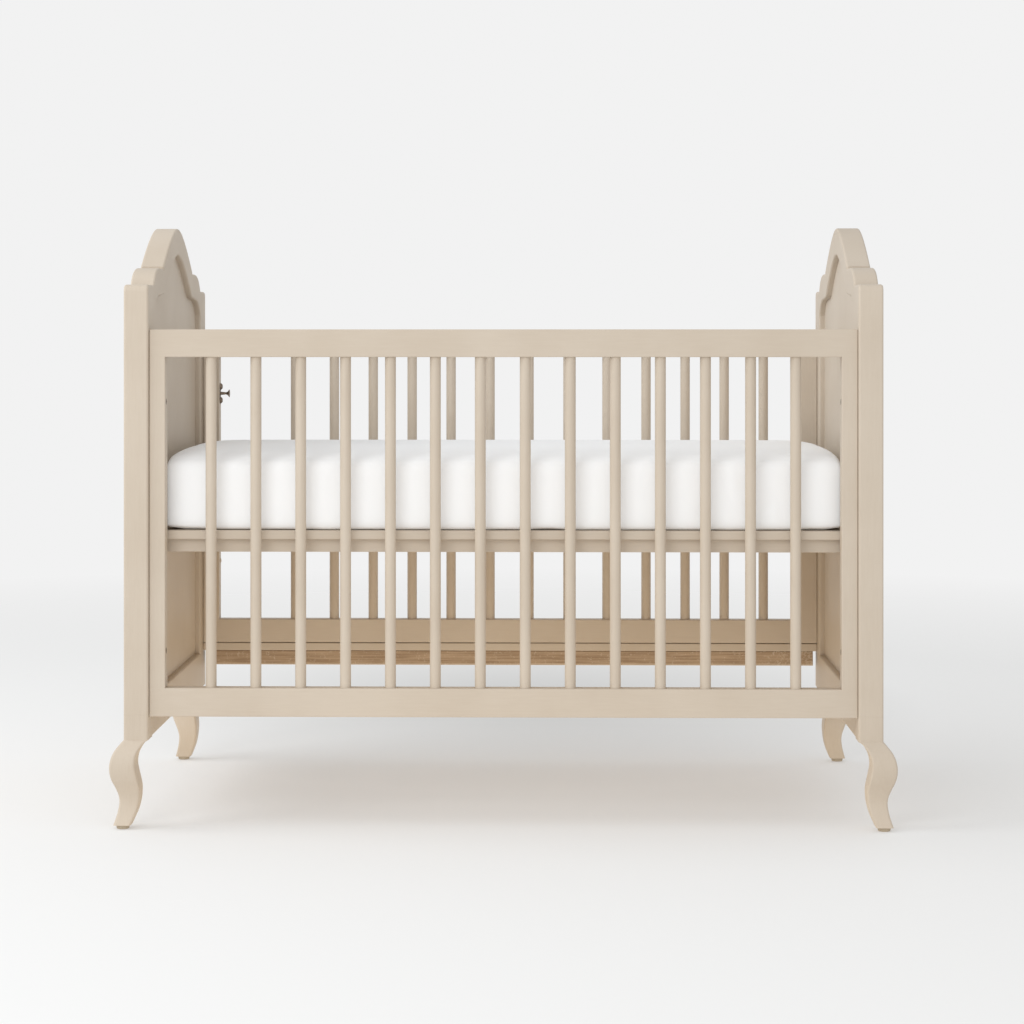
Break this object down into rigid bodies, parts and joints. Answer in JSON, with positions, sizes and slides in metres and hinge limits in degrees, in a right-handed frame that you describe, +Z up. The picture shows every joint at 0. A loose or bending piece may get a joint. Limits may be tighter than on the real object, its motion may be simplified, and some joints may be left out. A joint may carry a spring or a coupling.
{
  "type": "baby crib",
  "caption": "Painted wooden baby crib with crowned end panels on cabriole legs, barred sides, a lift-off rear side, an adjustable mattress base and a sheeted mattress.",
  "frame": {"origin": "on the floor, at the middle of the crib's plan", "axes": "+X along the crib from the left end panel to the right one, +Y towards the rear side, which lifts off, +Z up"},
  "size_m": [1.3596, 0.7296, 1.055],
  "materials": {
    "painted_wood": "satin",
    "raw_wood": "matte",
    "mattress_sheet": "matte",
    "bronze_hardware": "satin",
    "glide_pad": "matte"
  },
  "bodies": {
    "frame": {"left_end_panel": "painted_wood", "right_end_panel": "painted_wood", "front_left_leg": "painted_wood", "front_right_leg": "painted_wood", "rear_left_leg": "painted_wood", "rear_right_leg": "painted_wood", "front_left_glide": "glide_pad", "front_right_glide": "glide_pad", "rear_left_glide": "glide_pad", "rear_right_glide": "glide_pad", "front_top_rail": "painted_wood", "front_bottom_rail": "painted_wood", "front_left_stile": "painted_wood", "front_right_stile": "painted_wood", "front_bar_01": "painted_wood", "front_bar_02": "painted_wood", "front_bar_03": "painted_wood", "front_bar_04": "painted_wood", "front_bar_05": "painted_wood", "front_bar_06": "painted_wood", "front_bar_07": "painted_wood", "front_bar_08": "painted_wood", "front_bar_09": "painted_wood", "front_bar_10": "painted_wood", "front_bar_11": "painted_wood", "front_bar_12": "painted_wood", "front_bar_13": "painted_wood", "front_bar_14": "painted_wood", "front_left_upper_bolt": "bronze_hardware", "front_left_lower_bolt": "bronze_hardware", "front_right_upper_bolt": "bronze_hardware", "front_right_lower_bolt": "bronze_hardware", "rear_sill": "painted_wood", "rear_sill_batten": "raw_wood"},
    "rear_side": {"rear_top_rail": "painted_wood", "rear_bottom_rail": "painted_wood", "rear_left_stile": "painted_wood", "rear_right_stile": "painted_wood", "rear_bar_01": "painted_wood", "rear_bar_02": "painted_wood", "rear_bar_03": "painted_wood", "rear_bar_04": "painted_wood", "rear_bar_05": "painted_wood", "rear_bar_06": "painted_wood", "rear_bar_07": "painted_wood", "rear_bar_08": "painted_wood", "rear_bar_09": "painted_wood", "rear_bar_10": "painted_wood", "rear_bar_11": "painted_wood", "rear_bar_12": "painted_wood", "rear_bar_13": "painted_wood", "rear_bar_14": "painted_wood"},
    "left_catch": {"left_catch_pin": "bronze_hardware"},
    "right_catch": {"right_catch_pin": "bronze_hardware"},
    "mattress_base": {"base_deck": "painted_wood", "base_front_rail": "painted_wood", "base_rear_rail": "painted_wood", "base_left_rail": "painted_wood", "base_right_rail": "painted_wood"},
    "mattress": {"mattress": "mattress_sheet"}
  },
  "joints": [
    {"name": "rear_side_lift", "type": "slide", "parent": "frame", "child": "rear_side", "axis": [0, 0, 1], "range_m": [0, 0.45]},
    {"name": "left_catch_pull", "type": "slide", "parent": "rear_side", "child": "left_catch", "axis": [1, 0, 0], "range_m": [0, 0.012], "stiffness_N_per_m": 400},
    {"name": "right_catch_pull", "type": "slide", "parent": "rear_side", "child": "right_catch", "axis": [-1, 0, 0], "range_m": [0, 0.012], "stiffness_N_per_m": 400},
    {"name": "base_height", "type": "slide", "parent": "frame", "child": "mattress_base", "axis": [0, 0, 1], "range_m": [-0.2, 0]},
    {"name": "mattress_lift", "type": "slide", "parent": "mattress_base", "child": "mattress", "axis": [0, 0, 1], "range_m": [0, 0.6]}
  ]
}
